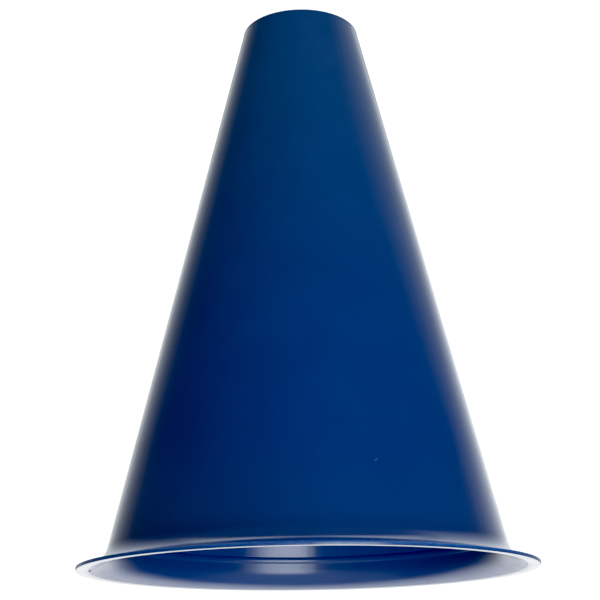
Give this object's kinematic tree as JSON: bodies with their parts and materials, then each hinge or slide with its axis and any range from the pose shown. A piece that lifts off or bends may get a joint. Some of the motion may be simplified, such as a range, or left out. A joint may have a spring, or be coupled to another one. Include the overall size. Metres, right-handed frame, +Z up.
{
  "type": "cheer megaphone",
  "caption": "Hand-held plastic cheer megaphone: straight cone flaring into a flat rim flange, with a stiffening ring inside the bell and a pull-out mouthpiece.",
  "frame": {"origin": "centre of the rim flange's underside plane, where the megaphone stands on its bell", "axes": "+Z up the cone's axis from the bell to the mouthpiece; the object is round about Z, so X and Y are any two square directions"},
  "size_m": [0.155, 0.155, 0.2],
  "materials": {
    "shell_plastic": "glossy, faint formed texture",
    "ring_plastic": "glossy",
    "mouthpiece_plastic": "satin gloss"
  },
  "bodies": {
    "horn": {"cone_shell": "shell_plastic", "bell_ring": "ring_plastic"},
    "mouthpiece": {"mouthpiece": "mouthpiece_plastic"}
  },
  "joints": [
    {"name": "mouthpiece_slide", "type": "slide", "parent": "horn", "child": "mouthpiece", "axis": [0, 0, 1], "range_m": [0, 0.03]}
  ]
}
